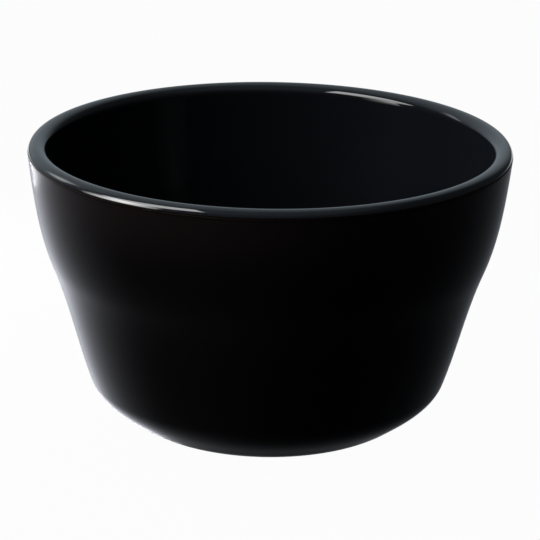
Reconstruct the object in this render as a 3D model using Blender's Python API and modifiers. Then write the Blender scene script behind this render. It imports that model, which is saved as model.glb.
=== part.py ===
"""A coffee cupping bowl: a turned clay body with three fired glaze coats.

The clay carries everything. A glossy glaze lines the inside and rolls over the lip, a satin glaze covers the
outside down to the foot, and a thin glaze seals the recess under the floor. The foot ring is bare clay, and
the bowl stands on it. Every piece is a shape of revolution about Z, in metres, and the resting plane is Z = 0.
"""

import math

import bpy
from mathutils import Vector

# Sizes of the finished bowl, glaze included, in metres
RIM_RADIUS = 0.0470
HEIGHT = 0.0576
LIP_RADIUS = 0.00175
INNER_LIP_RADIUS = 0.0022
FLOOR_THICKNESS = 0.0050
BASE_RADIUS = 0.0205
HEEL_RADIUS = 0.0130
WAIST_RADIUS = 0.03505
WAIST_HEIGHT = 0.01025
FLANK_RADIUS = 0.0424
FLANK_HEIGHT = 0.0336
FLANK_WALL = 0.0033
INNER_HEEL_RADIUS = 0.0100

# Lean of the wall from upright, in degrees, at the top of the heel and at the stations above it
HEEL_LEAN = 54.2
WAIST_LEAN = 19.6
FLANK_LEAN = 22.2
LIP_LEAN = 7.0
INNER_HEEL_LEAN = 46.0
INNER_FLANK_LEAN = 13.0
INNER_LIP_LEAN = 5.0

# Glaze coats, with the seams left between them and the clay
GLAZE_THICKNESS = 0.0004
BOND_GAP = 0.0001
GLAZE_LINE_GAP = 0.0003
BASE_GLAZE_MARGIN = 0.0004

# Foot ring, left bare, and the recess inside it
FOOT_HEIGHT = 0.0009
FOOT_WIDTH = 0.0032
FOOT_CHAMFER = 0.0003
BARE_BAND = 0.0008
RECESS_DEPTH = 0.0014

# Segments of the turning and of each stretch of the outline
TURN_STEPS = 48
HEEL_STEPS = 3
HEEL_TO_WAIST_STEPS = 4
WAIST_TO_FLANK_STEPS = 3
FLANK_TO_LIP_STEPS = 4
INNER_HEEL_TO_FLANK_STEPS = 5
LIP_STEPS = 6

AXIS_MERGE = 0.00001

# Values that follow from the sizes above
CLAY_DEPTH = GLAZE_THICKNESS + BOND_GAP
FOOT_RADIUS = BASE_RADIUS - BARE_BAND
FOOT_INNER_RADIUS = FOOT_RADIUS - FOOT_WIDTH
FLOOR_HEIGHT = FOOT_HEIGHT + FLOOR_THICKNESS
INNER_FLANK_RADIUS = FLANK_RADIUS - FLANK_WALL
BASE_GLAZE_RADIUS = FOOT_INNER_RADIUS - BASE_GLAZE_MARGIN
LIP_CENTRE = Vector((RIM_RADIUS - LIP_RADIUS, HEIGHT - LIP_RADIUS))
INNER_LIP_CENTRE = Vector((RIM_RADIUS - LIP_RADIUS, HEIGHT - INNER_LIP_RADIUS))


def climbing(lean):
    """Unit direction up a wall at this lean, as (radius, height)."""
    angle = math.radians(lean)
    return Vector((math.sin(angle), math.cos(angle)))


def outward(direction):
    """Unit normal on the outer side of a climbing direction."""
    return Vector((direction.y, -direction.x))


def heel_stations(height, radius, top_lean):
    """A round heel, from a level stretch at this height, which leans 90 degrees, to its top, as (point, normal)."""
    centre = Vector((BASE_RADIUS, height + radius))
    stations = []
    for step in range(HEEL_STEPS + 1):
        lean = 90 + (top_lean - 90) * step / HEEL_STEPS
        normal = outward(climbing(lean))
        stations.append((centre + normal * radius, normal))
    return stations


def sweep(start, start_lean, end, end_lean, steps):
    """Stations past start, up to end, on a smooth curve with these leans at its ends."""
    reach = (end - start).length
    start_pull = climbing(start_lean) * reach
    end_pull = climbing(end_lean) * reach
    stations = []
    for step in range(1, steps + 1):
        t = step / steps
        left = 1 - t
        point = start * (left * left * (1 + 2 * t)) + end * (t * t * (3 - 2 * t))
        point += start_pull * (t * left * left) - end_pull * (t * t * left)
        along = (end - start) * (6 * t * left)
        along += start_pull * (left * (1 - 3 * t)) + end_pull * (t * (3 * t - 2))
        stations.append((point, outward(along.normalized())))
    return stations


def wall_stations(height, radius, lean, knots):
    """A heel of this radius, up to this lean, carried on through knots of (point, lean, steps)."""
    stations = heel_stations(height, radius, lean)
    for knot, next_lean, steps in knots:
        stations += sweep(stations[-1][0], lean, knot, next_lean, steps)
        lean = next_lean
    return stations


def outside_stations():
    """The finished outside, from the level underside up to where the lip begins to round over."""
    lip_start = LIP_CENTRE + outward(climbing(LIP_LEAN)) * LIP_RADIUS
    knots = (
        (Vector((WAIST_RADIUS, WAIST_HEIGHT)), WAIST_LEAN, HEEL_TO_WAIST_STEPS),
        (Vector((FLANK_RADIUS, FLANK_HEIGHT)), FLANK_LEAN, WAIST_TO_FLANK_STEPS),
        (lip_start, LIP_LEAN, FLANK_TO_LIP_STEPS),
    )
    return wall_stations(FOOT_HEIGHT, HEEL_RADIUS, HEEL_LEAN, knots)


def inside_stations():
    """The finished inside, from the edge of the level floor up to the lip. It is plainer than the outside."""
    lip_start = INNER_LIP_CENTRE - outward(climbing(INNER_LIP_LEAN)) * INNER_LIP_RADIUS
    knots = (
        (Vector((INNER_FLANK_RADIUS, FLANK_HEIGHT)), INNER_FLANK_LEAN, INNER_HEEL_TO_FLANK_STEPS),
        (lip_start, INNER_LIP_LEAN, FLANK_TO_LIP_STEPS),
    )
    return wall_stations(FLOOR_HEIGHT, INNER_HEEL_RADIUS, INNER_HEEL_LEAN, knots)


OUTSIDE = outside_stations()
INSIDE = inside_stations()


def outer_face(depth, stations=OUTSIDE):
    """Points this deep below the outside, bottom to top."""
    return [point - normal * depth for point, normal in stations]


def inner_face(depth):
    """Points this deep below the inside, from the axis along the floor and up the wall."""
    wall = [point + normal * depth for point, normal in INSIDE]
    return [Vector((0, wall[0].y))] + wall


def lip_round(depth):
    """Points on the lip's two rounds, this deep below them, over the top from the inside to the widest point."""
    points = []
    for step in range(LIP_STEPS - 1, -1, -1):
        angle = math.pi * step / LIP_STEPS
        centre, radius = LIP_CENTRE, LIP_RADIUS
        if 2 * step > LIP_STEPS:
            centre, radius = INNER_LIP_CENTRE, INNER_LIP_RADIUS
        points.append(centre + Vector((math.cos(angle), math.sin(angle))) * (radius - depth))
    return points


def clay_profile():
    """The clay, from the axis up the inside, over the lip, down the outside and round the foot to the axis."""
    outside = outer_face(CLAY_DEPTH)
    foot = (
        (FOOT_RADIUS, outside[0].y),
        (FOOT_RADIUS, FOOT_CHAMFER),
        (FOOT_RADIUS - FOOT_CHAMFER, 0),
        (FOOT_INNER_RADIUS + FOOT_CHAMFER, 0),
        (FOOT_INNER_RADIUS, FOOT_CHAMFER),
        (FOOT_INNER_RADIUS, RECESS_DEPTH),
        (0, RECESS_DEPTH),
    )
    return inner_face(CLAY_DEPTH) + lip_round(CLAY_DEPTH) + outside[::-1] + [Vector(corner) for corner in foot]


def liner_profile():
    """The lining glaze: its face up the inside and over the lip, then its back the same way in return."""
    lip_end = OUTSIDE[-1:]
    face = inner_face(0) + lip_round(0) + outer_face(0, lip_end)
    back = inner_face(GLAZE_THICKNESS) + lip_round(GLAZE_THICKNESS) + outer_face(GLAZE_THICKNESS, lip_end)
    return face + back[::-1]


def outer_glaze_profile():
    """The outer glaze, which stops short of the lip's glaze: its face downwards, then its back upwards."""
    lip_start, normal = OUTSIDE[-1]
    glaze_line = lip_start - climbing(LIP_LEAN) * GLAZE_LINE_GAP
    stations = OUTSIDE[:-1] + [(glaze_line, normal)]
    return outer_face(0, stations)[::-1] + outer_face(GLAZE_THICKNESS, stations)


def base_glaze_profile():
    """The disc of glaze under the floor, inside the foot ring."""
    top = RECESS_DEPTH - BOND_GAP
    bottom = top - GLAZE_THICKNESS
    corners = ((0, top), (BASE_GLAZE_RADIUS, top), (BASE_GLAZE_RADIUS, bottom), (0, bottom))
    return [Vector(corner) for corner in corners]


def finish(name, colour, roughness):
    """A ceramic finish of one colour."""
    material = bpy.data.materials.new(name)
    material.use_nodes = True
    shader = material.node_tree.nodes["Principled BSDF"]
    shader.inputs["Base Color"].default_value = (*colour, 1)
    shader.inputs["Roughness"].default_value = roughness
    shader.inputs["Metallic"].default_value = 0
    return material


def turn(name, profile, material, closed, collection):
    """Turns a profile about Z into one named piece. A closed profile is a ring clear of the axis."""
    count = len(profile)
    edges = [(i, i + 1) for i in range(count - 1)]
    if closed:
        edges.append((count - 1, 0))
    mesh = bpy.data.meshes.new(name)
    mesh.from_pydata([(point.x, 0, point.y) for point in profile], edges, [])
    mesh.materials.append(material)
    piece = bpy.data.objects.new(name, mesh)
    collection.objects.link(piece)
    screw = piece.modifiers.new("Turn", "SCREW")
    screw.axis = "Z"
    screw.steps = TURN_STEPS
    screw.render_steps = TURN_STEPS
    screw.use_smooth_shade = True
    screw.use_merge_vertices = True
    screw.merge_threshold = AXIS_MERGE
    return piece


def build():
    """Clears the scene and makes the bowl's four pieces in their own collection."""
    for leftover in list(bpy.data.objects):
        bpy.data.objects.remove(leftover, do_unlink=True)
    bowl = bpy.data.collections.new("coffee_cupping_bowl")
    bpy.context.scene.collection.children.link(bowl)
    bare_clay = finish("bare_stoneware", (0.16, 0.13, 0.11), 0.85)
    gloss_black = finish("gloss_blue_black_glaze", (0.004, 0.005, 0.007), 0.08)
    satin_black = finish("satin_warm_black_glaze", (0.009, 0.008, 0.0075), 0.35)
    base_black = finish("base_black_glaze", (0.009, 0.009, 0.009), 0.4)
    turn("clay_body", clay_profile(), bare_clay, False, bowl)
    turn("liner_glaze", liner_profile(), gloss_black, False, bowl)
    turn("outer_glaze", outer_glaze_profile(), satin_black, True, bowl)
    turn("base_glaze", base_glaze_profile(), base_black, False, bowl)


build()
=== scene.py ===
# %% [markdown]
# # A black coffee cupping bowl
# A cupping bowl is a plain handleless bowl for tasting coffee. It is turned in clay, lined with a glossy
# glaze that rolls over the lip, coated outside with a satin glaze, and left bare on the ring that it
# stands on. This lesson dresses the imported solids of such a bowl: finer turned meshes take the place of
# the faceted ones, and each coat gets its own finish. Lengths are in metres, and the bowl stands on the
# plane Z = 0.

# %% Load the solids
import math

import bmesh
import bpy
from mathutils import Matrix, Vector


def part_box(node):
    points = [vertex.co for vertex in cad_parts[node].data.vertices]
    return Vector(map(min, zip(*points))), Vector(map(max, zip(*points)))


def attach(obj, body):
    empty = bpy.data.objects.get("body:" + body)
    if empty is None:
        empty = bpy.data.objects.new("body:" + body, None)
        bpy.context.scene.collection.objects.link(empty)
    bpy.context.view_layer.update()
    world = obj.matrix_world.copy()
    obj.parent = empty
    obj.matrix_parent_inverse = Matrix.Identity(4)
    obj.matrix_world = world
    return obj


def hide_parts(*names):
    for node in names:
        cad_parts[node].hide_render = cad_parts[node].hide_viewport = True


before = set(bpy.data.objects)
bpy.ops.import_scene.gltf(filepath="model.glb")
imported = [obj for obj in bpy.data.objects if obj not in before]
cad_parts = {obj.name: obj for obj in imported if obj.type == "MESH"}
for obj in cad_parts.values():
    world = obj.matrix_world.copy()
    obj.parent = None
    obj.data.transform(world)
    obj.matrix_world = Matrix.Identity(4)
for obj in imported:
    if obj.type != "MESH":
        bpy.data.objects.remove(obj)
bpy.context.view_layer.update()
print("solids:", ", ".join(sorted(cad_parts)))

# %% [markdown]
# ## The camera
# The photograph is square, and it is taken with a long lens from a little above the rim. The bowl's
# outline in it fixes how far the camera looks down, and how far it is rolled. Blender measures the lens
# against the sensor's width and the shift in shares of the picture, so the pixels are turned into those
# here.

# %% Camera
PHOTO_PIXELS = 540
FOCAL_PIXELS = 3048.5
OPTICAL_CENTRE_PIXELS = (268.6, 282.1)
CAMERA_DISTANCE = 0.6
CAMERA_ELEVATION = math.radians(18.35)
CAMERA_ROLL = math.radians(0.77)
RIM_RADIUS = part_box("liner_glaze")[1].x
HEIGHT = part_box("liner_glaze")[1].z


def photo_camera():
    """A camera at the photograph's angle, aimed at the middle of the bowl."""
    data = bpy.data.cameras.new("photo_camera")
    data.sensor_fit = "HORIZONTAL"
    data.lens = FOCAL_PIXELS * data.sensor_width / PHOTO_PIXELS
    data.shift_x = 0.5 - OPTICAL_CENTRE_PIXELS[0] / PHOTO_PIXELS
    data.shift_y = OPTICAL_CENTRE_PIXELS[1] / PHOTO_PIXELS - 0.5
    camera = bpy.data.objects.new("photo_camera", data)
    bpy.context.scene.collection.objects.link(camera)
    target = Vector((0, 0, HEIGHT / 2))
    back = Vector((0, -math.cos(CAMERA_ELEVATION), math.sin(CAMERA_ELEVATION)))
    right = Matrix.Rotation(CAMERA_ROLL, 3, back) @ Vector((1, 0, 0))
    axes = Matrix((right, back.cross(right), back)).transposed()
    camera.matrix_world = Matrix.Translation(target + back * CAMERA_DISTANCE) @ axes.to_4x4()
    return camera


bpy.context.scene.camera = photo_camera()
bpy.context.scene.view_settings.view_transform = "Standard"
print("lens", round(bpy.context.scene.camera.data.lens, 1), "mm")

# %% [markdown]
# ## The outline
# Every piece is a shape of revolution, so all of them come from two outlines. The outside has a round
# heel, a slight waist and a flank that leans out. The inside has no waist: it climbs in one plain curve
# from the level floor. Both end where the lip begins to round over, tightly outside and a little more
# gently inside. A station on an outline has a point and a normal, and every face of clay or glaze lies a
# certain depth below it along that normal. The sizes are those of the solids, but the stretches have many
# more steps.

# %% Stations of the walls
LIP_RADIUS = 0.00175
INNER_LIP_RADIUS = 0.0022
FLOOR_THICKNESS = 0.0050
BASE_RADIUS = 0.0205
HEEL_RADIUS = 0.0130
INNER_HEEL_RADIUS = 0.0100
WAIST = Vector((0.03505, 0.01025))
FLANK = Vector((0.0424, 0.0336))
INNER_FLANK = Vector((0.0391, 0.0336))
HEEL_LEAN, WAIST_LEAN, FLANK_LEAN, LIP_LEAN = (math.radians(lean) for lean in (54.2, 19.6, 22.2, 7.0))
INNER_HEEL_LEAN, INNER_FLANK_LEAN, INNER_LIP_LEAN = (math.radians(lean) for lean in (46.0, 13.0, 5.0))
FOOT_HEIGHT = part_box("outer_glaze")[0].z
FLOOR_HEIGHT = FOOT_HEIGHT + FLOOR_THICKNESS
LIP_CENTRE = Vector((RIM_RADIUS - LIP_RADIUS, HEIGHT - LIP_RADIUS))
INNER_LIP_CENTRE = Vector((RIM_RADIUS - LIP_RADIUS, HEIGHT - INNER_LIP_RADIUS))
HEEL_STEPS, SWEEP_STEPS = 12, 22


def climbing(lean):
    """Unit direction up a wall at this lean from upright, as (radius, height)."""
    return Vector((math.sin(lean), math.cos(lean)))


def outward(direction):
    """Unit normal on the outer side of a climbing direction."""
    return Vector((direction.y, -direction.x))


def heel(height, radius, top_lean):
    """Stations of a round heel, from a level stretch at this height up to the wall."""
    centre = Vector((BASE_RADIUS, height + radius))
    for step in range(HEEL_STEPS + 1):
        lean = math.pi / 2 + (top_lean - math.pi / 2) * step / HEEL_STEPS
        normal = outward(climbing(lean))
        yield centre + normal * radius, normal


def sweep(start, start_lean, end, end_lean):
    """Stations past start, up to end, on a smooth curve with these leans at its ends."""
    reach = (end - start).length
    start_pull = climbing(start_lean) * reach
    end_pull = climbing(end_lean) * reach
    for step in range(1, SWEEP_STEPS + 1):
        t = step / SWEEP_STEPS
        left = 1 - t
        point = start * (left * left * (1 + 2 * t)) + end * (t * t * (3 - 2 * t))
        point += start_pull * (t * left * left) - end_pull * (t * t * left)
        along = (end - start) * (6 * t * left)
        along += start_pull * (left * (1 - 3 * t)) + end_pull * (t * (3 * t - 2))
        yield point, outward(along.normalized())


def wall(height, radius, lean, knots):
    """Stations of a heel of this radius, up to this lean, and on through knots of (point, lean)."""
    stations = list(heel(height, radius, lean))
    for knot, next_lean in knots:
        stations += sweep(stations[-1][0], lean, knot, next_lean)
        lean = next_lean
    return stations


LIP_START = LIP_CENTRE + outward(climbing(LIP_LEAN)) * LIP_RADIUS
INNER_LIP_START = INNER_LIP_CENTRE - outward(climbing(INNER_LIP_LEAN)) * INNER_LIP_RADIUS
OUTSIDE = wall(FOOT_HEIGHT, HEEL_RADIUS, HEEL_LEAN, (
    (WAIST, WAIST_LEAN), (FLANK, FLANK_LEAN), (LIP_START, LIP_LEAN),
))
INSIDE = wall(FLOOR_HEIGHT, INNER_HEEL_RADIUS, INNER_HEEL_LEAN, (
    (INNER_FLANK, INNER_FLANK_LEAN), (INNER_LIP_START, INNER_LIP_LEAN),
))
print(len(OUTSIDE), "stations up the outside and", len(INSIDE), "up the inside")

# %% [markdown]
# ## Faces and lip
# Each coat and the clay under it follow the same outline at another depth. Moving every point in along
# its normal keeps a coat equally thick everywhere, which scaling the outline wouldn't. The lip is two
# rounds, a tight one outside and a wider one inside, that meet at its top.

# %% Faces at a depth
FLOOR_RINGS = 6
LIP_STEP = math.radians(6)


def outer_face(depth):
    """Points this deep below the outside, bottom to top."""
    return [point - normal * depth for point, normal in OUTSIDE]


def inner_face(depth):
    """Points this deep below the inside, from the axis along the floor and up the wall."""
    wall_points = [point + normal * depth for point, normal in INSIDE]
    edge = wall_points[0]
    floor_points = [Vector((edge.x * ring / FLOOR_RINGS, edge.y)) for ring in range(FLOOR_RINGS)]
    return floor_points + wall_points


def lip_round(centre, radius, start, end):
    """Points on a round of the lip, from one angle above the outward level to another."""
    steps = max(1, round(abs(end - start) / LIP_STEP))
    angles = [start + (end - start) * step / steps for step in range(steps + 1)]
    return [centre + Vector((math.cos(angle), math.sin(angle))) * radius for angle in angles]


def over_lip(depth, end):
    """Points this deep below the lip, from the inside over its top and down its outside to this angle."""
    inside_end = math.pi - INNER_LIP_LEAN - LIP_STEP
    inner_round = lip_round(INNER_LIP_CENTRE, INNER_LIP_RADIUS - depth, inside_end, math.pi / 2)
    return inner_round[:-1] + lip_round(LIP_CENTRE, LIP_RADIUS - depth, math.pi / 2, end)


print("mouth", round(2000 * inner_face(0)[-1].x, 1), "mm across")

# %% [markdown]
# ## Turning a piece
# A potter's wheel makes a shape by turning one edge about an axis, and the spin operator does the same. A
# chain of edges is drawn in the plane of X and Z, its named corners are rounded while it is still a line,
# and a full turn with merging closes the seam. Points on the axis fall together into a pole, so doubles
# are merged before the normals are made to face out.

# %% Turning
TURN_STEPS = 256
ROUND_STEPS = 4
MERGE = 1e-7


def turned(name, outline, closed=False, rounds=()):
    """A piece turned about Z from its outline, after rounding the corners that rounds gives with radii."""
    work = bmesh.new()
    points = [work.verts.new((point.x, 0, point.y)) for point in outline]
    for pair in zip(points, points[1:]):
        work.edges.new(pair)
    if closed:
        work.edges.new((points[-1], points[0]))
    for index, radius in rounds:
        bmesh.ops.bevel(
            work, geom=[points[index]], offset=radius, offset_type="OFFSET", segments=ROUND_STEPS,
            profile=0.5, affect="VERTICES", material=-1,
        )
    bmesh.ops.spin(
        work, geom=work.verts[:] + work.edges[:], cent=(0, 0, 0), axis=(0, 0, 1),
        angle=2 * math.pi, steps=TURN_STEPS, use_merge=True,
    )
    bmesh.ops.remove_doubles(work, verts=work.verts, dist=MERGE)
    bmesh.ops.recalc_face_normals(work, faces=work.faces)
    mesh = bpy.data.meshes.new(name)
    work.to_mesh(mesh)
    work.free()
    mesh.shade_smooth()
    piece = bpy.data.objects.new(name, mesh)
    bpy.context.scene.collection.objects.link(piece)
    print(name, len(mesh.polygons), "faces")
    return piece


# %% [markdown]
# ## Clay and glaze
# A glaze is a coat of glass about as thick as a thumbnail, so every coat is a thin shell with its own
# face and back, a hair clear of the clay. A solidified sheet could be such a shell, but an outline drawn
# down the face and back up the other side also closes its edges. The lining runs over the lip and stops
# on its outer shoulder.

# %% Lining glaze
GLAZE = 0.0004
BOND = 0.0001
SEAM = math.radians(4)
SEAM_GAP = math.radians(0.8)
SEAM_ROUND = 0.00003


def liner():
    """The glossy lining, from the middle of the floor over the lip to the seam."""
    face = inner_face(0) + over_lip(0, SEAM + SEAM_GAP)
    back = inner_face(GLAZE) + over_lip(GLAZE, SEAM + SEAM_GAP)
    last = len(face)
    return turned("gloss_liner", face + back[::-1], rounds=((last - 1, SEAM_ROUND), (last, SEAM_ROUND)))


liner_piece = liner()

# %% [markdown]
# ## The outer glaze
# The satin coat starts at the seam on the lip's shoulder and ends in a soft edge above the foot, where a
# potter wipes the glaze away with a sponge. It is a ring clear of the axis, so its outline closes on
# itself before it is turned.

# %% Outer glaze
EDGE_ROUND = 0.00018


def outer_coat():
    """The satin outside, from the seam on the lip's shoulder down to the foot."""
    shoulder = -LIP_LEAN + LIP_STEP / 2
    face = outer_face(0) + lip_round(LIP_CENTRE, LIP_RADIUS, shoulder, SEAM)
    back = outer_face(GLAZE) + lip_round(LIP_CENTRE, LIP_RADIUS - GLAZE, shoulder, SEAM)
    count = len(face)
    corners = ((0, EDGE_ROUND), (2 * count - 1, EDGE_ROUND), (count - 1, SEAM_ROUND), (count, SEAM_ROUND))
    return turned("satin_outside", face + back[::-1], closed=True, rounds=corners)


outer_piece = outer_coat()

# %% [markdown]
# ## The clay body
# Under the glaze the clay is one turned wall. It shows only at the foot, where the glaze is wiped off so
# that the bowl doesn't stick to the kiln shelf: a bare ring with softened edges round a shallow recess. A
# thin disc of glaze seals the recess.

# %% Clay and base glaze
FOOT_INSET = 0.0008
FOOT_WIDTH = 0.0032
FOOT_ROUND = 0.0004
RECESS_DEPTH = 0.0014
BASE_GLAZE_MARGIN = 0.0004
FOOT_RADIUS = BASE_RADIUS - FOOT_INSET
FOOT_INNER_RADIUS = FOOT_RADIUS - FOOT_WIDTH


def clay_body():
    """The clay, from the axis up the inside, over the lip, down the outside and round the foot."""
    depth = GLAZE + BOND
    wall_line = inner_face(depth) + over_lip(depth, -LIP_LEAN + LIP_STEP) + outer_face(depth)[::-1]
    foot = (
        (FOOT_RADIUS, wall_line[-1].y), (FOOT_RADIUS, 0), (FOOT_INNER_RADIUS, 0),
        (FOOT_INNER_RADIUS, RECESS_DEPTH), (0, RECESS_DEPTH),
    )
    outline = wall_line + [Vector(corner) for corner in foot]
    corners = ((len(wall_line) + 1, FOOT_ROUND), (len(wall_line) + 2, FOOT_ROUND))
    return turned("bare_clay", outline, rounds=corners)


def base_coat():
    """The thin disc of glaze that seals the recess."""
    top = RECESS_DEPTH - BOND
    rim = FOOT_INNER_RADIUS - BASE_GLAZE_MARGIN
    corners = ((0, top), (rim, top), (rim, top - GLAZE), (0, top - GLAZE))
    return turned("base_coat", [Vector(corner) for corner in corners], rounds=((2, EDGE_ROUND),))


clay_piece = clay_body()
base_piece = base_coat()

# %% [markdown]
# ## Shader sums
# A finish is worked out from where a point lies on the bowl. Writing that as nodes is long, so one small
# class wraps a socket: plain Python operators on it add Math nodes, and one method makes any other node.

# %% Wire
class Wire:
    """A socket of a shader tree. Operators add Math nodes, and node() adds any other."""

    def __init__(self, tree, socket=None):
        self.tree = tree
        self.socket = socket

    def node(self, kind, settings=None, sockets=None, output=0):
        """One output of a new node of this kind, with its settings set first and then its sockets."""
        made = self.tree.nodes.new(kind)
        for name, value in (settings or {}).items():
            setattr(made, name, value)
        for name, value in (sockets or {}).items():
            if isinstance(value, Wire):
                self.tree.links.new(value.socket, made.inputs[name])
            else:
                made.inputs[name].default_value = value
        return Wire(self.tree, made.outputs[output] if made.outputs else None)

    def math(self, operation, first, second):
        return self.node("ShaderNodeMath", {"operation": operation}, {0: first, 1: second})

    def __add__(self, other):
        return self.math("ADD", self, other)

    def __rsub__(self, other):
        return self.math("SUBTRACT", other, self)

    def __mul__(self, other):
        return self.math("MULTIPLY", self, other)

    def __pow__(self, other):
        return self.math("POWER", self, other)

    __radd__ = __add__
    __rmul__ = __mul__

    def rise(self, low, high):
        """0 below low, 1 above high, and a smooth step between."""
        settings = {"interpolation_type": "SMOOTHSTEP"}
        return self.node("ShaderNodeMapRange", settings, {"Value": self, "From Min": low, "From Max": high})

    def between(self, first, second):
        """The first colour where this mask is 0, the second where it is 1."""
        colours = [part if isinstance(part, Wire) else (*part, 1) for part in (first, second)]
        settings = {"data_type": "RGBA"}
        return self.node("ShaderNodeMix", settings, {0: self, 6: colours[0], 7: colours[1]}, output=2)


class Place:
    """Where a point lies on the bowl: its position, height, distance from the axis, and noises there."""

    def __init__(self, tree):
        self.point = Wire(tree).node("ShaderNodeTexCoord", output="Object")
        x, y, self.height = (self.point.node("ShaderNodeSeparateXYZ", sockets={0: self.point}, output=axis)
                             for axis in range(3))
        self.radius = (x * x + y * y) ** 0.5

    def noise(self, size, detail=2):
        """Soft clouds from 0 to 1, each about this big across."""
        sockets = {"Vector": self.point, "Scale": 1 / size, "Detail": detail}
        return self.point.node("ShaderNodeTexNoise", sockets=sockets)

    def bump(self, height, distance):
        """A normal that height, times this distance, tilts."""
        return self.point.node("ShaderNodeBump", sockets={"Height": height, "Distance": distance})


def glazed(name, tree_sockets, constants):
    """A Principled material with these constants, from a function that gives its other sockets."""
    material = bpy.data.materials.new(name)
    material.use_nodes = True
    tree = material.node_tree
    tree.nodes.clear()
    sockets = {**constants, **tree_sockets(Place(tree))}
    shader = Wire(tree).node("ShaderNodeBsdfPrincipled", sockets=sockets)
    shader.node("ShaderNodeOutputMaterial", sockets={"Surface": shader})
    print(name, len(tree.nodes), "nodes")
    return material


# %% [markdown]
# ## The gloss lining
# Glossy glaze is clear glass over a dark stain. One smooth layer could stand for both, but two layers let
# the stain stay dull while the glass mirrors the room sharply, so the shader's clear coat is the glass.
# It lies thick on the lip and thinner down the inside. On the lip's outer shoulder it breaks to a dull
# brown line: the brown is where glaze runs away from the edge, and its dullness and dark tone are painted
# shade in place of the dark room that a glossy shoulder would mirror.

# %% Gloss lining
SHOULDER_LOW = LIP_CENTRE.y + LIP_RADIUS * math.sin(math.radians(13))
SHOULDER_HIGH = LIP_CENTRE.y + LIP_RADIUS * math.sin(math.radians(20))
SHOULDER_FADE = 0.0004
SHOULDER_BROWN_AND_PAINTED_SHADE = (0.0040, 0.0021, 0.0017)
THICK_COAT = (HEIGHT - 0.0017, HEIGHT - 0.0009)
INSIDE_COAT = 0.15
LINING_DARK, LINING_PALE = (0.0052, 0.0063, 0.0080), (0.0069, 0.0081, 0.0103)


def gloss_sockets(place):
    cloud = place.noise(0.012)
    blue_black = cloud.between(LINING_DARK, LINING_PALE)
    outer_half = place.radius.rise(LIP_CENTRE.x, LIP_CENTRE.x + SHOULDER_FADE)
    # painted shade: the shoulder band is dull and dark brown in place of the dark reflection of a glossy
    # shoulder; its brown hue is thin glaze
    shoulder = (1 - place.height.rise(SHOULDER_LOW, SHOULDER_HIGH)) * outer_half
    lip = place.height.rise(*THICK_COAT)
    return {
        "Base Color": shoulder.between(blue_black, SHOULDER_BROWN_AND_PAINTED_SHADE),
        "Roughness": 0.3 + 0.1 * place.noise(0.004) + 0.3 * shoulder,
        "Coat Weight": (INSIDE_COAT + (1 - INSIDE_COAT) * lip) * (1 - shoulder),
        "Normal": place.bump(place.noise(0.0016), 0.000004),
    }


GLOSS = {"IOR": 1.06, "Coat IOR": 1.63, "Coat Roughness": 0.04}
gloss_black = glazed("gloss_blue_black", gloss_sockets, GLOSS)

# %% [markdown]
# ## The satin outside
# The outside is a satin black glaze that warms to brown in a collar under the lip. The brown is the
# glaze's own hue, and its lightening toward the lip is painted light where the key falls on the upper
# wall. Fine crystals in such a glaze scatter the light that grazes them, so it is black seen straight on
# and pale at its edges. A rough gloss would veil the whole wall with grey. A black mirror colour with a
# fine sheen keeps the middle black and lights only the edges.

# %% Satin outside
COLLAR_LOW = HEIGHT - 0.024
COLLAR_BROWN_AND_PAINTED_LIGHT = (0.0050, 0.0034, 0.0035)
GLAZE_LINE = (LIP_CENTRE.y - 0.0004, LIP_CENTRE.y - 0.0001)
GLAZE_LINE_BROWN = (0.0030, 0.0016, 0.0013)
SATIN_DARK, SATIN_PALE = (0.0003, 0.00025, 0.00025), (0.0008, 0.0007, 0.0007)


def satin_sockets(place):
    cloud = place.noise(0.009)
    black = cloud.between(SATIN_DARK, SATIN_PALE)
    # painted light: the collar brightens from black to warm brown toward the lip, where the key lights the
    # upper wall; the warm hue is the glaze's own
    painted_light_collar = place.height.rise(COLLAR_LOW, LIP_CENTRE.y) ** 2
    warm = painted_light_collar.between(black, COLLAR_BROWN_AND_PAINTED_LIGHT)
    line = place.height.rise(*GLAZE_LINE)
    return {
        "Base Color": line.between(warm, GLAZE_LINE_BROWN),
        "Roughness": 0.12 + 0.06 * place.noise(0.003),
        "Normal": place.bump(place.noise(0.0005, 4), 0.000002),
    }


SATIN = {
    "IOR": 1.01, "Specular Tint": (0, 0, 0, 1),
    "Sheen Weight": 1, "Sheen Roughness": 0.27, "Sheen Tint": (0.9, 0.91, 1, 1),
}
satin_black = glazed("satin_warm_black", satin_sockets, SATIN)

# %% [markdown]
# ## Bare clay and base glaze
# The foot ring is bare fired clay, matt and finely grained, and the disc in its recess is a plain black
# glaze. A picture of clay could be wrapped round the ring, but noise at the size of the grain does as
# well: the same grain tints the clay and roughens its surface.

# %% Bare clay and base glaze
CLAY_DARK, CLAY_PALE = (0.10, 0.080, 0.066), (0.22, 0.18, 0.15)
BASE_DARK, BASE_PALE = (0.005, 0.005, 0.005), (0.012, 0.011, 0.010)


def clay_sockets(place):
    grain = place.noise(0.0004, 4)
    return {
        "Base Color": grain.between(CLAY_DARK, CLAY_PALE),
        "Roughness": 0.8 + 0.15 * place.noise(0.002),
        "Normal": place.bump(grain, 0.00006),
    }


def base_sockets(place):
    cloud = place.noise(0.003)
    return {
        "Base Color": cloud.between(BASE_DARK, BASE_PALE),
        "Roughness": 0.34 + 0.12 * cloud,
        "Normal": place.bump(place.noise(0.0006, 4), 0.000006),
    }


CLAY = {"IOR": 1.4}
bare_stoneware = glazed("bare_stoneware", clay_sockets, CLAY)
base_black = glazed("base_black", base_sockets, CLAY)

# %% [markdown]
# ## Dressing the bowl
# Each finish goes on its own piece. The bowl is one body, so every piece rides on its root. Each takes
# the place of its faceted solid.

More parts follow.
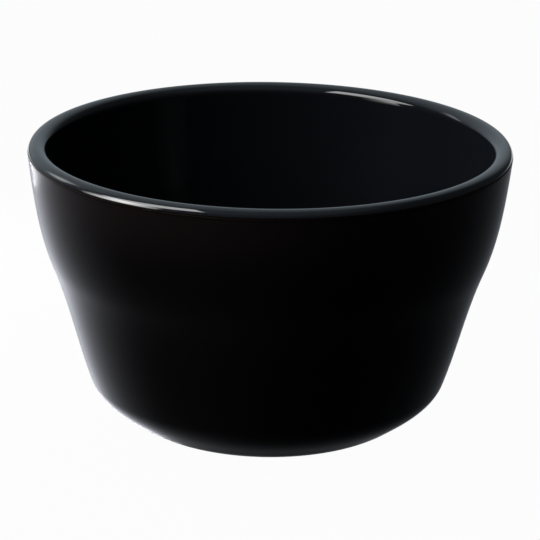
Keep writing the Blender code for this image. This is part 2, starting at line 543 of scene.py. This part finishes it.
# %% Dressing
for piece, node, slot, finish in (
    (liner_piece, "liner_glaze", "gloss_black_glaze", gloss_black),
    (outer_piece, "outer_glaze", "satin_black_glaze", satin_black),
    (clay_piece, "clay_body", "bare_stoneware", bare_stoneware),
    (base_piece, "base_glaze", "base_black_glaze", base_black),
):
    piece.data.materials.append(finish)
    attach(piece, "root")
    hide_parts(node)
    print(piece.name, "takes the place of", node)

# %% [markdown]
# ## The floor
# The bowl stands on a plain pale floor. More light would make the floor white, but it would fall on the
# bowl too. So the camera, and every surface that mirrors the floor, see it mostly as a white glow that
# lights nothing else, and the rest of it is pale paint that keeps the bowl's soft shadow.

# %% Floor
FLOOR_REACH = 4
FLOOR_COLOUR = (0.5, 0.5, 0.5)
WHITE_SHARE = 0.97
WHITE_REACH = (0.4, 0.9)


def floor():
    """A wide pale floor at Z = 0, the plane that the bowl's foot rests on."""
    work = bmesh.new()
    bmesh.ops.create_grid(work, x_segments=1, y_segments=1, size=FLOOR_REACH)
    mesh = bpy.data.meshes.new("floor")
    work.to_mesh(mesh)
    work.free()
    piece = bpy.data.objects.new("floor", mesh)
    bpy.context.scene.collection.objects.link(piece)
    return piece


def floor_finish():
    material = bpy.data.materials.new("pale_floor")
    material.use_nodes = True
    tree = material.node_tree
    tree.nodes.clear()
    start = Wire(tree)
    seen = [start.node("ShaderNodeLightPath", output=ray)
            for ray in ("Is Camera Ray", "Is Glossy Ray", "Is Transmission Ray")]
    pool = 1 - Place(tree).radius.rise(*WHITE_REACH)
    share = WHITE_SHARE * pool * (seen[0] + seen[1] + seen[2])
    paint = start.node("ShaderNodeBsdfDiffuse", sockets={"Color": (*FLOOR_COLOUR, 1)})
    glow = start.node("ShaderNodeEmission", sockets={"Color": (1, 1, 1, 1), "Strength": 1})
    mixed = start.node("ShaderNodeMixShader", sockets={0: share, 1: paint, 2: glow})
    start.node("ShaderNodeOutputMaterial", sockets={"Surface": mixed})
    return material


floor_piece = floor()
floor_piece.data.materials.append(floor_finish())
print("floor", 2 * FLOOR_REACH, "m across")

# %% [markdown]
# ## The room
# Dark glaze shows little but what it mirrors, and a studio is brighter in some directions than in others.
# A picture of a room could be wrapped round the scene, but a few numbers do the same: a dim cool room
# with two soft round glows, one behind the bowl for its far lip and one above it for the inside.

# %% World
ROOM_LIGHT = 0.05
ROOM_COLOUR = (0.80, 0.94, 1.04)
GLOWS = (
    ((20, 33), (20, 60), 0.42),
    ((160, 78), (10, 50), 0.13),
)


def toward(azimuth, elevation):
    """Unit direction, in degrees left of straight behind the bowl and degrees up."""
    azimuth, elevation = math.radians(azimuth), math.radians(elevation)
    level = Vector((-math.sin(azimuth), math.cos(azimuth), 0))
    return level * math.cos(elevation) + Vector((0, 0, math.sin(elevation)))


def studio_world():
    """A dim room with soft round glows, each given as direction, inner and outer angle, and strength."""
    world = bpy.data.worlds.new("studio")
    world.use_nodes = True
    tree = world.node_tree
    tree.nodes.clear()
    direction = Wire(tree).node("ShaderNodeTexCoord", output="Generated")
    strength = ROOM_LIGHT
    for angles, (inner, outer), peak in GLOWS:
        sockets = {0: direction, 1: toward(*angles)}
        settings = {"operation": "DOT_PRODUCT"}
        facing = direction.node("ShaderNodeVectorMath", settings, sockets, output="Value")
        edges = [math.cos(math.radians(angle)) for angle in (outer, inner)]
        strength = strength + peak * facing.rise(*edges)
    sockets = {"Color": (*ROOM_COLOUR, 1), "Strength": strength}
    glow = direction.node("ShaderNodeBackground", sockets=sockets)
    direction.node("ShaderNodeOutputWorld", sockets={"Surface": glow})
    return world


bpy.context.scene.world = studio_world()
print(len(GLOWS), "glows in the room")

# %% [markdown]
# ## The softboxes
# Glossy dark pots are lit with softboxes, because each leaves one clean pale shape on the glaze. A key
# close to the near lip draws its long highlight, a high one draws the crescent across the far lip, one on
# the left draws the streak there, and a low strip behind the bowl lights its left edge. A bare lamp would
# light everything round it, so the key and the left one have a grid that keeps each on what it is aimed
# at, and the lamp's spread is that grid. The high one and the low strip are open.

# %% Softboxes
def softbox(name, centre, aim, size, spread, radiance, roll=0):
    """A rectangular lamp, aimed at a point, rolled about that line and gridded to a spread in degrees."""
    half = math.radians(spread) / 2
    data = bpy.data.lights.new(name, "AREA")
    data.shape = "RECTANGLE"
    data.size, data.size_y = size
    data.spread = 2 * half
    data.energy = radiance * size[0] * size[1] * math.pi * (1 - half / math.tan(half))
    lamp = bpy.data.objects.new(name, data)
    bpy.context.scene.collection.objects.link(lamp)
    away = Vector(centre) - Vector(aim)
    aimed = away.to_track_quat("Z", "Y").to_matrix().to_4x4()
    rolled = Matrix.Rotation(math.radians(roll), 4, "Z")
    lamp.matrix_world = Matrix.Translation(centre) @ aimed @ rolled
    lamp.visible_camera = False
    print(name, round(data.energy, 3), "W")


OPEN = 179
LEFT_LIP = (-0.039, -0.025, HEIGHT)
NEAR_LIP = (-0.0305, -0.035, HEIGHT + 0.006)
MOUTH = (0, 0, HEIGHT)
LEFT_EDGE = (-0.043, 0, 0.011)
softbox("key_softbox", (-0.1092, -0.0575, 0.0854), NEAR_LIP, (0.088, 0.062), spread=48, radiance=14.5)
softbox(
    "high_softbox", (-0.412, -0.187, 0.451), MOUTH, (0.437, 0.25), spread=OPEN, radiance=5.6, roll=51,
)
softbox("left_softbox", (-0.307, 0.149, 0.199), LEFT_LIP, (0.117, 0.142), spread=28, radiance=2.6)
softbox("low_softbox", (-0.1335, 0.0943, 0.011), LEFT_EDGE, (0.1, 0.02), spread=OPEN, radiance=56)
